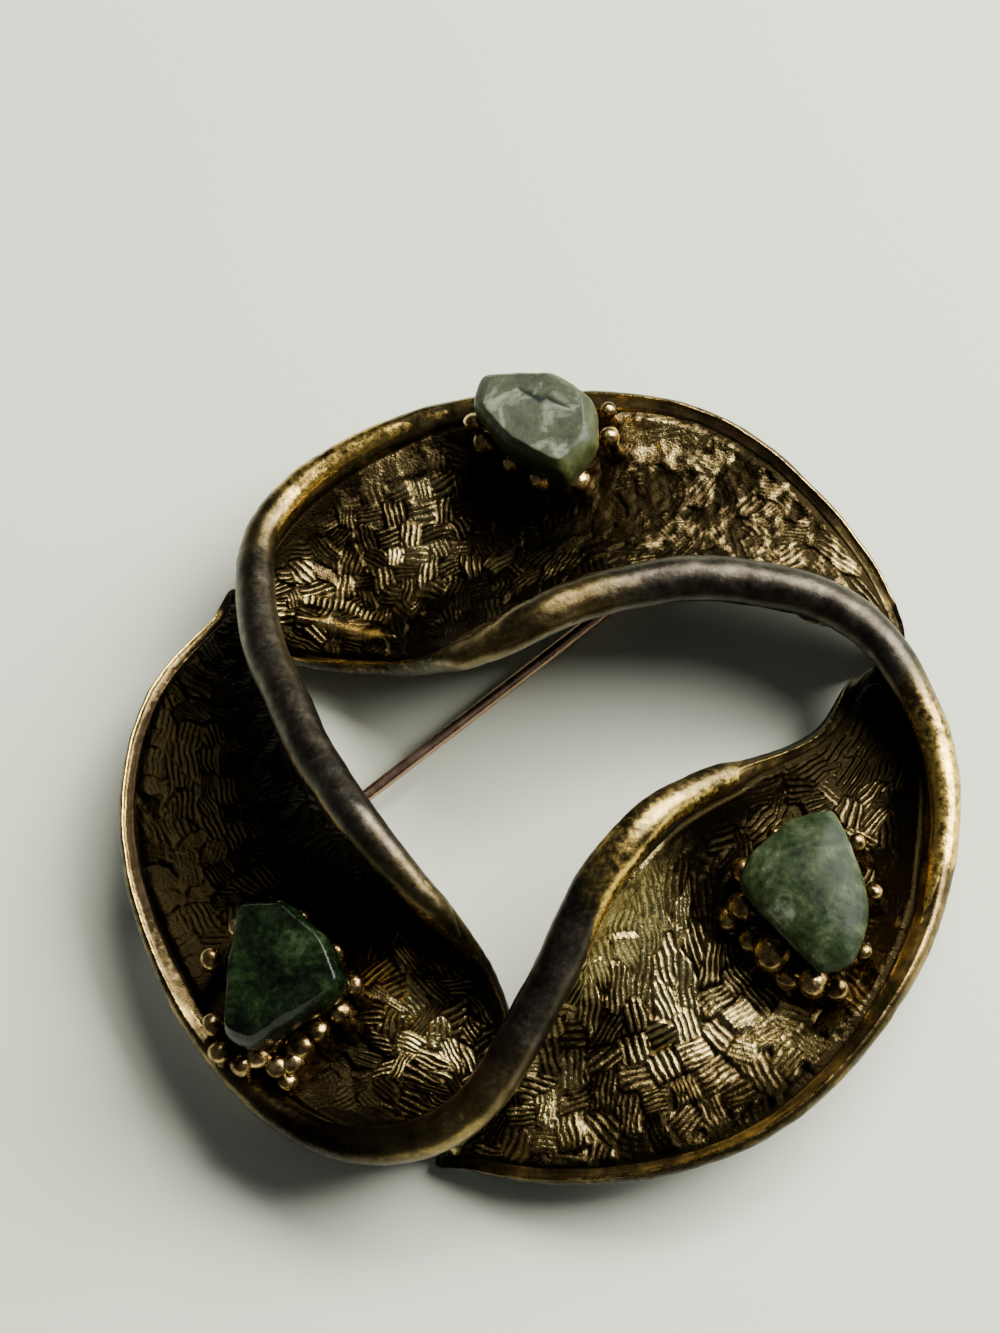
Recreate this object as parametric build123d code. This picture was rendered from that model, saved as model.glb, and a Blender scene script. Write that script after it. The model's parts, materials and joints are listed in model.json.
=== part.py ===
from build123d import *
import os
from collections import namedtuple
from math import cos, hypot, pi, radians, sin

os.makedirs("parts", exist_ok=True)

# A circle brooch: one metal ribbon with three half twists, which makes three hollow lobes round a
# three-cornered opening, with a rough green stone in each lobe and a pin across its back.
# Lengths are in millimetres, +Z is up, and the brooch lies on its back on the plane Z = 0.

# The ribbon
RING_RADIUS = 25.0
RISE = 11.6
TROUGH_DEPTH = 4.2
TROUGH_FULLNESS = 2.4
SHEET_THICKNESS = 1.3
RIDGE_BEAD = 2.8
BEAD_FLARE = 1.8
STATIONS_PER_LOBE = 28
STEPS_ACROSS = 12
CAP_STEPS = 4
SLOPE_STEP = 0.02
WALL_STEPS = 60
WALL_START, WALL_END = 0.15, 0.85

# The stones and their settings
STONE_LENGTH = 9.6
STONE_THICKNESS = 3.3
STONE_TABLE_HEIGHT = 10.5
STONE_GAP = 0.06
CORNER_CUT = 0.25
CORNER_ROUNDS = 2
BED_SHARE = 0.62
PRONG_BEAD = 1.25
PRONG_POST = 0.8
PRONG_COUNT = 10
PRONG_RING_SHARE = 0.92

# The pin, its hinge and its catch
PIN_WIRE = 0.8
PIN_HEIGHT = 1.4
PIN_TIP_LENGTH = 5.4
PIN_TIP_END = 0.1
PIN_PAST_CATCH = 2.6
RIVET = 0.7
RIVET_CLEARANCE = 0.05
EYE_WALL = 0.45
EYE_WIDTH = 1.6
HINGE_GAP = 0.1
HINGE_EAR = 0.7
HINGE_EAR_LENGTH = 2.4
NECK_WIRE = 1.3
NECK_PAST_EARS = 0.6
CATCH_LENGTH = 2.2
CATCH_WALL = 0.6
CATCH_GAP = 0.15

# The ribbon has one edge, which runs round twice. A third of it, from one tuck to the next, goes out
# round the rim of a lobe, over a ridge and down the inner rim of the next lobe.
# along is the share of that third, rise a share of RISE, bead a share of RIDGE_BEAD. Then, for the
# third that starts at the top, right and left lobe: reach, a share of RING_RADIUS, and lead, the
# degrees by which the edge runs ahead of an even pace.
EdgeRow = namedtuple(
    "EdgeRow", "along rise bead top_reach top_lead right_reach right_lead left_reach left_lead")
EDGE_ROWS = [
    EdgeRow(0.00, 0.00, 0.60, 0.89, -2.5, 0.82, -13.0, 0.96, -4.5),
    EdgeRow(0.06, 0.09, 0.60, 0.93, -8.5, 0.85, -20.0, 0.95, -12.5),
    EdgeRow(0.12, 0.22, 0.60, 0.96, -8.0, 0.90, -16.0, 0.98, -13.5),
    EdgeRow(0.19, 0.33, 0.62, 1.00, -4.5, 0.96, -9.5, 0.97, -10.5),
    EdgeRow(0.25, 0.35, 0.64, 0.99, 0.0, 0.96, -4.0, 0.95, -6.5),
    EdgeRow(0.33, 0.34, 0.68, 1.01, 3.5, 0.95, -0.5, 0.95, -4.5),
    EdgeRow(0.42, 0.40, 0.82, 0.97, 5.0, 0.91, 1.5, 0.93, -4.0),
    EdgeRow(0.50, 0.58, 0.96, 0.78, 0.5, 0.81, 1.5, 0.80, -6.0),
    EdgeRow(0.56, 0.76, 1.00, 0.59, 0.5, 0.64, 1.5, 0.57, -7.0),
    EdgeRow(0.63, 0.90, 1.00, 0.46, 3.5, 0.45, 3.0, 0.40, -5.5),
    EdgeRow(0.71, 1.00, 0.94, 0.39, 8.0, 0.31, 6.5, 0.35, 0.5),
    EdgeRow(0.78, 0.90, 0.80, 0.38, 13.0, 0.28, 11.5, 0.38, 6.5),
    EdgeRow(0.84, 0.68, 0.66, 0.40, 16.0, 0.34, 16.5, 0.49, 8.5),
    EdgeRow(0.89, 0.30, 0.60, 0.46, 15.5, 0.50, 17.0, 0.66, 9.0),
    EdgeRow(0.95, 0.08, 0.60, 0.61, 6.5, 0.77, 12.0, 0.79, 6.5),
]
# The three tucks, where the edge passes low under the ridge: the angle from +X at which each third
# of the edge starts, counted on as it runs round twice.
TUCK_TOP, TUCK_RIGHT, TUCK_LEFT = 28.0, 267.0, 507.0
THIRDS = 3
OPPOSITE = 1.5
TWICE_ROUND = 720
HEIGHT_OF_LOWEST_BEAD = RIDGE_BEAD * EDGE_ROWS[0].bead / 2

# Each stone: its node, the lobe that it sits in (the count of half twists before it), the reach of
# its middle as a share of RING_RADIUS, its bearing in degrees, the way and the degrees that it
# leans, and its outline's corners as shares of STONE_LENGTH, which the tumbling rounded off.
Stone = namedtuple("Stone", "node lobe reach bearing lean_way lean prong_turn corners")
STONES = [
    Stone("stone_top", 0, 0.87, 89.6, 90.0, 5.0, 8.0, [
        (-0.39, 0.33), (0.09, 0.32), (0.36, 0.11), (0.38, -0.19), (0.19, -0.46), (-0.19, -0.22),
        (-0.44, 0.09)]),
    Stone("stone_left", 1, 0.73, 221.0, 200.0, 4.0, 20.0, [
        (-0.33, -0.38), (-0.32, 0.10), (-0.27, 0.44), (0.03, 0.45), (0.31, 0.19), (0.45, -0.10),
        (0.26, -0.23), (-0.15, -0.48)]),
    Stone("stone_right", 2, 0.72, 334.6, 330.0, 6.0, 0.0, [
        (-0.41, 0.02), (-0.37, 0.18), (-0.12, 0.43), (0.15, 0.49), (0.29, 0.19), (0.37, -0.14),
        (0.27, -0.46), (0.07, -0.52), (-0.25, -0.19)]),
]

# A stone from its belly up to its table: the share of its outline, and the share of its thickness
# that lies above.
StoneLevel = namedtuple("StoneLevel", "outline below")
STONE_LEVELS = [
    StoneLevel(0.80, 1.00),
    StoneLevel(0.95, 0.78),
    StoneLevel(1.00, 0.48),
    StoneLevel(0.95, 0.14),
    StoneLevel(0.78, 0.00),
]

# The pin's line over the opening, as shares of RING_RADIUS: where it leaves the inner rims of the
# top and the left lobe, and how far it goes on under each.
PIN_AT_TOP = (0.14, 0.52)
PIN_AT_LEFT = (-0.45, 0.045)
PIN_UNDER_TOP = 0.28
PIN_UNDER_LEFT = 0.26


def closed_curve(knots, values, period):
    """A smooth closed line through the values, whose slope at each knot leans to the nearer side."""
    count = len(knots)
    gaps = [(knots[(i + 1) % count] - knots[i]) % period for i in range(count)]
    climbs = [(values[(i + 1) % count] - values[i]) / gaps[i] for i in range(count)]
    slopes = [(climbs[i - 1] * gaps[i] + climbs[i] * gaps[i - 1]) / (gaps[i - 1] + gaps[i])
              for i in range(count)]

    def value(at):
        at = at % period
        low = max(i for i in range(count) if knots[i] <= at)
        high = (low + 1) % count
        t = (at - knots[low]) / gaps[low]
        start = values[low] * (1 + 2 * t) + slopes[low] * gaps[low] * t
        end = values[high] * (3 - 2 * t) - slopes[high] * gaps[low] * (1 - t)
        return start * (1 - t) ** 2 + end * t ** 2

    return value


def edge_curves():
    """Reach, lead, rise and bead of the edge, each as a closed line over its three thirds."""
    knots = [third + row.along for third in range(THIRDS) for row in EDGE_ROWS]
    reach = [getattr(row, name) * RING_RADIUS for name in ("top_reach", "right_reach", "left_reach")
             for row in EDGE_ROWS]
    lead = [getattr(row, name) for name in ("top_lead", "right_lead", "left_lead")
            for row in EDGE_ROWS]
    rise = [row.rise * RISE for row in EDGE_ROWS] * THIRDS
    bead = [row.bead * RIDGE_BEAD / 2 for row in EDGE_ROWS] * THIRDS
    return [closed_curve(knots, values, THIRDS) for values in (reach, lead, rise, bead)]


EDGE_REACH, EDGE_LEAD, EDGE_RISE, EDGE_BEAD = edge_curves()


def edge_point(at):
    """The middle of the rolled edge at a place counted in thirds of its length."""
    at = at % THIRDS
    third = int(at)
    tucks = [TUCK_TOP, TUCK_RIGHT, TUCK_LEFT, TUCK_TOP + TWICE_ROUND]
    pace = tucks[third] + (at - third) * (tucks[third + 1] - tucks[third])
    angle = radians(pace + EDGE_LEAD(at))
    reach = EDGE_REACH(at)
    return Vector(reach * cos(angle), reach * sin(angle), HEIGHT_OF_LOWEST_BEAD + EDGE_RISE(at))


class Section:
    """The ribbon cut across, from one place on the edge to the place opposite it."""

    def __init__(self, at):
        self.near, self.far = edge_point(at), edge_point(at + OPPOSITE)
        self.near_bead, self.far_bead = EDGE_BEAD(at), EDGE_BEAD(at + OPPOSITE)
        self.chord = self.far - self.near
        round_the_ring = Vector(0, 0, 1).cross(self.near + self.far)
        self.up = round_the_ring.cross(self.chord).normalized()
        self.depth = TROUGH_DEPTH * sin(2 * pi * at)

    def middle(self, across):
        """The middle of the sheet at a share of the way across."""
        hollow = 1 - abs(2 * across - 1) ** TROUGH_FULLNESS
        return self.near + self.chord * across - self.up * (self.depth * hollow)

    def outward(self, across):
        """The unit vector along the section, back towards its near end."""
        return (self.middle(across - SLOPE_STEP) - self.middle(across + SLOPE_STEP)).normalized()

    def normal(self, across):
        """The unit vector square to the sheet, on the side that up is on."""
        along = self.chord.normalized() * -1
        outward = self.outward(across)
        return self.up * outward.dot(along) - along * outward.dot(self.up)

    def half_thickness(self, across):
        """Half the sheet, swelling to the radius of the rolled edge at each end."""
        half = SHEET_THICKNESS / 2
        thickness = half
        for share, bead in ((across, self.near_bead), (1 - across, self.far_bead)):
            away = min(share * self.chord.length / (BEAD_FLARE * bead), 1)
            thickness += (bead - half) * (1 - away ** 2) ** 2
        return thickness

    def loop(self):
        """The outline of the section: over the sheet, round the far bead, back and round the near."""
        shares = [(1 - cos(pi * i / STEPS_ACROSS)) / 2 for i in range(STEPS_ACROSS + 1)]
        sides = [self.normal(share) * self.half_thickness(share) for share in shares]
        over = [self.middle(share) + side for share, side in zip(shares, sides)]
        under = [self.middle(share) - side for share, side in zip(shares, sides)]
        turns = [pi * i / CAP_STEPS for i in range(1, CAP_STEPS)]
        far_out, near_out = self.outward(1) * -self.far_bead, self.outward(0) * self.near_bead
        far_cap = [self.far + sides[-1] * cos(turn) + far_out * sin(turn) for turn in turns]
        near_cap = [self.near - sides[0] * cos(turn) + near_out * sin(turn) for turn in turns]
        return over + far_cap + under[::-1] + near_cap


def faceted(triangles):
    """A closed solid from triangles, each three points."""
    shell = Shell([Face(Wire.make_polygon(points, close=True)) for points in triangles])
    solid = Solid(shell)
    return solid if solid.volume > 0 else Solid(Shell([-face for face in shell.faces()]))


def between_loops(lower, upper):
    """The triangles between two loops of as many points."""
    count = len(lower)
    triangles = []
    for i in range(count):
        j = (i + 1) % count
        triangles.append((lower[i], lower[j], upper[i]))
        triangles.append((lower[j], upper[j], upper[i]))
    return triangles


def closed_stack(loops, bottom, top):
    """A faceted solid through loops, closed by a fan at each end."""
    triangles = [triangle for lower, upper in zip(loops, loops[1:])
                 for triangle in between_loops(lower, upper)]
    first, last = loops[0], loops[-1]
    count = len(first)
    triangles += [(first[(i + 1) % count], first[i], bottom) for i in range(count)]
    triangles += [(last[i], last[(i + 1) % count], top) for i in range(count)]
    return faceted(triangles)


def make_ribbon():
    """The closed band. After one turn its two sides have changed places."""
    count = THIRDS * STATIONS_PER_LOBE
    loops = [Section(OPPOSITE * i / count).loop() for i in range(count)]
    half = len(loops[0]) // 2
    loops.append(loops[0][half:] + loops[0][:half])
    return faceted([triangle for lower, upper in zip(loops, loops[1:])
                    for triangle in between_loops(lower, upper)])


def lobe_wall(lobe):
    """Points on the middle of a lobe's wall, close enough together to stand for it."""
    places = [WALL_START + (WALL_END - WALL_START) * i / WALL_STEPS for i in range(WALL_STEPS + 1)]
    sections = [Section((lobe + place) / 2) for place in places]
    return [section.middle(j / WALL_STEPS) for section in sections for j in range(1, WALL_STEPS)]


def wall_at(wall, x, y):
    """The point straight above or below a place, as high as the nearest part of a wall."""
    nearest = min(wall, key=lambda point: hypot(point.X - x, point.Y - y))
    return Vector(x, y, nearest.Z)


def rounded(corners):
    """Corners cut off at a share of each side, and those corners again, as tumbling rounds them."""
    for _ in range(CORNER_ROUNDS):
        cut = []
        for i, (x, y) in enumerate(corners):
            next_x, next_y = corners[(i + 1) % len(corners)]
            for share in (CORNER_CUT, 1 - CORNER_CUT):
                cut.append((x + (next_x - x) * share, y + (next_y - y) * share))
        corners = cut
    return corners


class Seat:
    """Where a stone sits: a plane in the middle of its table, leaning a little."""

    def __init__(self, stone):
        self.stone = stone
        reach, bearing = stone.reach * RING_RADIUS, radians(stone.bearing)
        self.top = Vector(reach * cos(bearing), reach * sin(bearing), STONE_TABLE_HEIGHT)
        way, lean = radians(stone.lean_way), radians(stone.lean)
        self.up = Vector(sin(lean) * cos(way), sin(lean) * sin(way), cos(lean))
        self.right = (Vector(1, 0, 0) - self.up * self.up.X).normalized()
        self.ahead = self.up.cross(self.right)
        self.outline = rounded(stone.corners)

    def point(self, x, y, below):
        """A point at shares of the stone's length across, and a depth below its table."""
        place = self.right * (x * STONE_LENGTH) + self.ahead * (y * STONE_LENGTH)
        return self.top + place - self.up * below

    def loop(self, share, below):
        return [self.point(x * share, y * share, below) for x, y in self.outline]


def make_stone(seat):
    """A tumbled chip: a flat table, steep sides and a narrower belly."""
    loops = [seat.loop(level.outline, level.below * STONE_THICKNESS) for level in STONE_LEVELS]
    return closed_stack(loops, seat.point(0, 0, STONE_THICKNESS), seat.point(0, 0, 0))


def make_setting(seat, wall):
    """A bed that fills up from the lobe's wall to the stone, and beads on posts round it."""
    underside = STONE_THICKNESS + STONE_GAP
    brim = seat.loop(BED_SHARE, underside)
    foot = [wall_at(wall, point.X, point.Y) for point in brim]
    brim_middle, foot_middle = seat.point(0, 0, underside), wall_at(wall, seat.top.X, seat.top.Y)
    pieces = [closed_stack([foot, brim], foot_middle, brim_middle)]
    for i in range(PRONG_COUNT):
        turn = 2 * pi * i / PRONG_COUNT + radians(seat.stone.prong_turn)
        x, y = max(seat.outline, key=lambda corner: corner[0] * cos(turn) + corner[1] * sin(turn))
        bead = seat.point(x * PRONG_RING_SHARE, y * PRONG_RING_SHARE, underside + PRONG_BEAD / 2)
        base = wall_at(wall, bead.X, bead.Y)
        post = Plane(origin=base, z_dir=bead - base) * Cylinder(
            PRONG_POST / 2, (bead - base).length, align=(Align.CENTER, Align.CENTER, Align.MIN))
        pieces += [post, Pos(bead) * Sphere(PRONG_BEAD / 2)]
    return pieces


class PinLine:
    """The pin's line and the frame that its hinge and catch share."""

    def __init__(self):
        top = Vector(*PIN_AT_TOP) * RING_RADIUS
        left = Vector(*PIN_AT_LEFT) * RING_RADIUS
        self.along = (left - top).normalized()
        lift = Vector(0, 0, PIN_HEIGHT)
        self.hinge = top - self.along * (PIN_UNDER_TOP * RING_RADIUS) + lift
        self.catch = left + self.along * (PIN_UNDER_LEFT * RING_RADIUS) + lift
        self.tip = self.catch + self.along * (CATCH_LENGTH / 2 + PIN_PAST_CATCH)
        self.axis = Vector(0, 0, 1).cross(self.along)

    def plane(self, origin):
        """X along the pin, Y along the hinge's axis, Z up."""
        return Plane(origin=origin, x_dir=self.along, z_dir=(0, 0, 1))


def across_bar(plane, radius, length):
    """A round bar on the hinge's axis."""
    return plane * Rot(90, 0, 0) * Cylinder(radius, length)


def make_pin(line):
    """The wire with its eye on the rivet, a thicker neck and a drawn-out point."""
    eye_radius = RIVET / 2 + RIVET_CLEARANCE + EYE_WALL
    at_hinge = line.plane(line.hinge)
    length = (line.tip - line.hinge).length
    stem_start = RIVET / 2 + RIVET_CLEARANCE + EYE_WALL / 2
    shaft_length = length - PIN_TIP_LENGTH - stem_start
    along_pin = Plane(origin=line.hinge + line.along * stem_start, z_dir=line.along)
    shaft = along_pin * Cylinder(
        PIN_WIRE / 2, shaft_length, align=(Align.CENTER, Align.CENTER, Align.MIN))
    tip = along_pin.offset(shaft_length) * Cone(
        PIN_WIRE / 2, PIN_TIP_END / 2, PIN_TIP_LENGTH, align=(Align.CENTER, Align.CENTER, Align.MIN))
    neck = along_pin * Cylinder(
        NECK_WIRE / 2, HINGE_EAR_LENGTH / 2 + NECK_PAST_EARS - stem_start,
        align=(Align.CENTER, Align.CENTER, Align.MIN))
    eye = across_bar(at_hinge, eye_radius, EYE_WIDTH)
    bore = across_bar(at_hinge, RIVET / 2 + RIVET_CLEARANCE, EYE_WIDTH * 2)
    return (eye + neck + shaft + tip - bore).solid()


def make_hinge(line, wall):
    """Two ears that come down from the top lobe's back, and the rivet between them."""
    plane = line.plane(line.hinge)
    ear_centre = EYE_WIDTH / 2 + HINGE_GAP + HINGE_EAR / 2
    below = RIVET / 2 + EYE_WALL
    pieces = [across_bar(plane, RIVET / 2, 2 * ear_centre + HINGE_EAR / 2)]
    for side in (-1, 1):
        foot = line.hinge + line.axis * (side * ear_centre)
        rise = wall_at(wall, foot.X, foot.Y).Z - foot.Z
        pieces.append(line.plane(foot) * Pos(0, 0, -below) * Box(
            HINGE_EAR_LENGTH, HINGE_EAR, below + rise, align=(Align.CENTER, Align.CENTER, Align.MIN)))
    return pieces


def make_catch(line, wall):
    """A plain block under the left lobe with a slot for the pin, open away from the ribbon."""
    plane = line.plane(line.catch)
    width = PIN_WIRE + 2 * (CATCH_GAP + CATCH_WALL)
    slot_width = PIN_WIRE + 2 * CATCH_GAP
    below = PIN_WIRE / 2 + CATCH_GAP
    rise = wall_at(wall, line.catch.X, line.catch.Y).Z - line.catch.Z
    low = (Align.CENTER, Align.CENTER, Align.MIN)
    block = plane * Pos(0, 0, -below) * Box(CATCH_LENGTH, width, below + rise, align=low)
    slot = plane * Pos(0, 0, -below * 2) * Box(
        CATCH_LENGTH * 2, slot_width, below * 2 + PIN_WIRE / 2 + CATCH_GAP, align=low)
    return [block - slot]


def main():
    line = PinLine()
    walls = [lobe_wall(lobe) for lobe in range(THIRDS)]
    seats = [Seat(stone) for stone in STONES]
    frame = make_ribbon()
    soldered = make_hinge(line, walls[0]) + make_catch(line, walls[1])
    for seat in seats:
        soldered += make_setting(seat, walls[seat.stone.lobe])
    frame = frame.fuse(*[solid for piece in soldered for solid in piece.solids()])
    nodes = {"ribbon_frame": frame.solids()[0], "pin_stem": make_pin(line)}
    for seat in seats:
        nodes[seat.stone.node] = make_stone(seat)
    box = Compound(list(nodes.values())).bounding_box()
    middle = Vector(box.center().X, box.center().Y, 0)
    for name, solid in nodes.items():
        export_step(solid.moved(Location(-middle)), f"parts/{name}.step")
    print("solids in the frame", len(frame.solids()))
    for place, point in (("ring axis", Vector()), ("hinge", line.hinge), ("catch", line.catch),
                         ("tip", line.tip)):
        print(place, tuple(round(value, 4) for value in point - middle))
    print("hinge axis", tuple(round(value, 5) for value in line.axis))


main()
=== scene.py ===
import json
from collections import namedtuple
from math import cos, pi, radians, sin

import bpy
import numpy as np
from mathutils import Matrix, Vector


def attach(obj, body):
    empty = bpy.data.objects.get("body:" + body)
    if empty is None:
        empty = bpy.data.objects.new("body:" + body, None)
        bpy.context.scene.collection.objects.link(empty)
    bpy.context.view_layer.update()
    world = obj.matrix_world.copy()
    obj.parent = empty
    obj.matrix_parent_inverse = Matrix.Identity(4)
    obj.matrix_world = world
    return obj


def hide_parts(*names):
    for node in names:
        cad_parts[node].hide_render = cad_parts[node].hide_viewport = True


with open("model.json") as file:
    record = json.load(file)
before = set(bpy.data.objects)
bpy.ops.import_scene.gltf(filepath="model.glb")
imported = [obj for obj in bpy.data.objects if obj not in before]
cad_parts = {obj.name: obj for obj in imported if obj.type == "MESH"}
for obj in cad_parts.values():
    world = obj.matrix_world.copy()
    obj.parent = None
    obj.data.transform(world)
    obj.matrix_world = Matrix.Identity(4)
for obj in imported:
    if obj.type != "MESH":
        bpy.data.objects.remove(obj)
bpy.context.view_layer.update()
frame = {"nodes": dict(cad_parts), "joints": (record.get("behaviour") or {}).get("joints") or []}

# A circle brooch of one twisted metal ribbon with three rough green stones, lying on a pale table.
# Sizes are in millimetres in the ring's own frame, whose axis is the middle of the ring; to_frame
# carries a point to the CAD model's frame, in metres.
MM = 0.001

# The ribbon, as in the CAD model
RING_RADIUS = 25.0
RISE = 11.6
TROUGH_DEPTH = 4.2
TROUGH_FULLNESS = 2.4
SHEET_THICKNESS = 1.3
RIDGE_BEAD = 2.8
THIRDS = 3
OPPOSITE = 1.5
TWICE_ROUND = 720
TUCKS = (28.0, 267.0, 507.0)
# Rows along a third of the rolled edge, with its reach and lead in the top, right and left third
EdgeRow = namedtuple("EdgeRow", "along rise bead reach lead")
EDGE_ROWS = [
    EdgeRow(0.00, 0.00, 0.60, (0.89, 0.82, 0.96), (-2.5, -13.0, -4.5)),
    EdgeRow(0.06, 0.09, 0.60, (0.93, 0.85, 0.95), (-8.5, -20.0, -12.5)),
    EdgeRow(0.12, 0.22, 0.60, (0.96, 0.90, 0.98), (-8.0, -16.0, -13.5)),
    EdgeRow(0.19, 0.33, 0.62, (1.00, 0.96, 0.97), (-4.5, -9.5, -10.5)),
    EdgeRow(0.25, 0.35, 0.64, (0.99, 0.96, 0.95), (0.0, -4.0, -6.5)),
    EdgeRow(0.33, 0.34, 0.68, (1.01, 0.95, 0.95), (3.5, -0.5, -4.5)),
    EdgeRow(0.42, 0.40, 0.82, (0.97, 0.91, 0.93), (5.0, 1.5, -4.0)),
    EdgeRow(0.50, 0.58, 0.96, (0.78, 0.81, 0.80), (0.5, 1.5, -6.0)),
    EdgeRow(0.56, 0.76, 1.00, (0.59, 0.64, 0.57), (0.5, 1.5, -7.0)),
    EdgeRow(0.63, 0.90, 1.00, (0.46, 0.45, 0.40), (3.5, 3.0, -5.5)),
    EdgeRow(0.71, 1.00, 0.94, (0.39, 0.31, 0.35), (8.0, 6.5, 0.5)),
    EdgeRow(0.78, 0.90, 0.80, (0.38, 0.28, 0.38), (13.0, 11.5, 6.5)),
    EdgeRow(0.84, 0.68, 0.66, (0.40, 0.34, 0.49), (16.0, 16.5, 8.5)),
    EdgeRow(0.89, 0.30, 0.60, (0.46, 0.50, 0.66), (15.5, 17.0, 9.0)),
    EdgeRow(0.95, 0.08, 0.60, (0.61, 0.77, 0.79), (6.5, 12.0, 6.5)),
]
LOWEST_BEAD = RIDGE_BEAD * EDGE_ROWS[0].bead / 2

# The ribbon's finish: the roll along its edge, and the woven skin let into its front. Reaches and
# heights on the roll are shares of its radius.
ROLL_SHARE = 0.985
ROLL_REACH = 1.14
ROLL_FLATTENED = 0.16
LIP_SHARE = 0.22
DISH_FLOOR = 0.42
SKIN_FROM_RIM = 0.12
SKIN_FROM_RIDGE = 0.62
SKIN_SINK = 0.30
SKIN_OVERRUN = 0.055
SKIN_FADE = 0.02
RIDGE_CORE = 0.3
FRONTS = (1, -1, 1)

# How finely the pieces are divided. The band's places on its rolls are shares of their radius.
BAND_STATIONS = 880
BAND_ROLLS = np.array([0, 0.12, 0.25, 0.4, 0.55, 0.7, 0.85, 1.0, 1.12, 1.25, 1.45])
BAND_FLATS = 8
CAP_TURNS = pi * np.arange(1, 20)[None] / 20
CAP_SINES, CAP_COSINES = np.sin(CAP_TURNS), np.cos(CAP_TURNS)
ROLL_STATIONS = 1100
ROLL_SIDES = 26
SKIN_STATIONS = 600
SKIN_ACROSS = 160
CHIP_ROWS = 90
CHIP_SIDES = 128
BED_ROWS = 12
BED_SIDES = 72

# The weave: the bundles' pitch on the top, left and right lobe, how deep they are carved there, and
# how many rows lie on each side of the middle
BUNDLE_PITCH = (1.45, 1.5, 1.75)
CARVED = (1.35, 1.75, 1.35)
BUNDLE_ROWS = 10
RIDGE_HEIGHT = 0.125
BUNDLE_SEED = 40

# Unevenness by its depth, the length of its waves and the seed of its directions. The insets draw
# the surfaces in by as much, so that the unevenness stays inside the solids.
WAVES = 7
Rough = namedtuple("Rough", "depth wave seed")
BAND_ROUGH = (Rough(0.035, 2.4, 3), Rough(0.022, 0.8, 4))
ROLL_ROUGH = (Rough(0.045, 2.6, 5), Rough(0.014, 0.9, 6))
SKIN_ROUGH = (Rough(0.06, 3.5, 70), Rough(0.02, 0.9, 75), Rough(0.018, 0.45, 80))
CHIP_ROUGH = (Rough(0.10, 3.6, 100), Rough(0.035, 1.1, 110))
BED_ROUGH = (Rough(0.16, 1.3, 300),)
BAND_INSET = 0.10
ROLL_INSET = 0.12
CHIP_INSET = 0.10
# The weave's: how its ridges bend, how loosely and how far askew its bundles lie, its grit where
# it is worn, and its patina. The grains and their posts have seeds of their own.
BEND_ROUGH = (Rough(0.10, 1.4, 17),)
LOOSE_ROUGH = (Rough(0.4, 5.0, 20),)
ASKEW_ROUGH = (Rough(0.45, 9.0, 30),)
GRIT_ROUGH = (Rough(1.0, 0.6, 85),)
PATINA_ROUGH = (Rough(0.25, 5.0, 90),)
GRAIN_SEED = 200
MOST_GRAINS = 20

# The pin's hinge and catch, as in the CAD model
PIN_AT_TOP = (0.14, 0.52)
PIN_AT_LEFT = (-0.45, 0.045)
PIN_UNDER_TOP = 0.28
PIN_UNDER_LEFT = 0.26
PIN_HEIGHT = 1.4

# The camera: degrees off the vertical, its bearing, its roll, and its distance and aim
CAMERA_TILT = 24.0
CAMERA_BEARING = 25.0
CAMERA_ROLL = -25.0
CAMERA_DISTANCE = 260.0
CAMERA_AIM = (-3.432, 9.899, 0.0)
CAMERA_LENS = 156.78
SENSOR_WIDTH = 36.0


def unit(vectors):
    """The vectors at length 1."""
    return vectors / np.linalg.norm(vectors, axis=-1, keepdims=True)


def smooth(values):
    """0 to 1 with no corner at either end."""
    values = np.clip(values, 0, 1)
    return values * values * (3 - 2 * values)


# The ribbon's shape

def distances(line):
    """How far along a line each of its points lies."""
    return np.concatenate([[0], np.cumsum(np.linalg.norm(np.diff(line, axis=0), axis=-1))])


def ways_round(count, side, third):
    """Ways out from a line, evenly round it, given two that are square to each other."""
    turns = 2 * pi * np.arange(count)[None, :, None] / count
    return np.cos(turns) * side + np.sin(turns) * third


def closed_curve(knots, values, period):
    """A smooth closed curve through values at knots."""
    knots, values = np.array(knots), np.array(values)
    gaps = (np.roll(knots, -1) - knots) % period
    climbs = (np.roll(values, -1) - values) / gaps
    before, gap_before = np.roll(climbs, 1), np.roll(gaps, 1)
    slopes = (before * gaps + climbs * gap_before) / (gap_before + gaps)

    def value(at):
        at = np.mod(at, period)
        low = np.searchsorted(knots, at, side="right") - 1
        high = (low + 1) % len(knots)
        t = (at - knots[low]) / gaps[low]
        start = values[low] * (1 + 2 * t) + slopes[low] * gaps[low] * t
        end = values[high] * (3 - 2 * t) - slopes[high] * gaps[low] * (1 - t)
        return start * (1 - t) ** 2 + end * t ** 2

    return value


def edge_curves():
    """The rolled edge's reach, lead, rise and radius along its whole length."""
    knots = [third + row.along for third in range(THIRDS) for row in EDGE_ROWS]
    reach = [row.reach[third] * RING_RADIUS for third in range(THIRDS) for row in EDGE_ROWS]
    lead = [row.lead[third] for third in range(THIRDS) for row in EDGE_ROWS]
    rise = [row.rise * RISE for row in EDGE_ROWS] * THIRDS
    bead = [row.bead * RIDGE_BEAD / 2 for row in EDGE_ROWS] * THIRDS
    return [closed_curve(knots, values, THIRDS) for values in (reach, lead, rise, bead)]


EDGE_REACH, EDGE_LEAD, EDGE_RISE, EDGE_BEAD = edge_curves()


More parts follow.
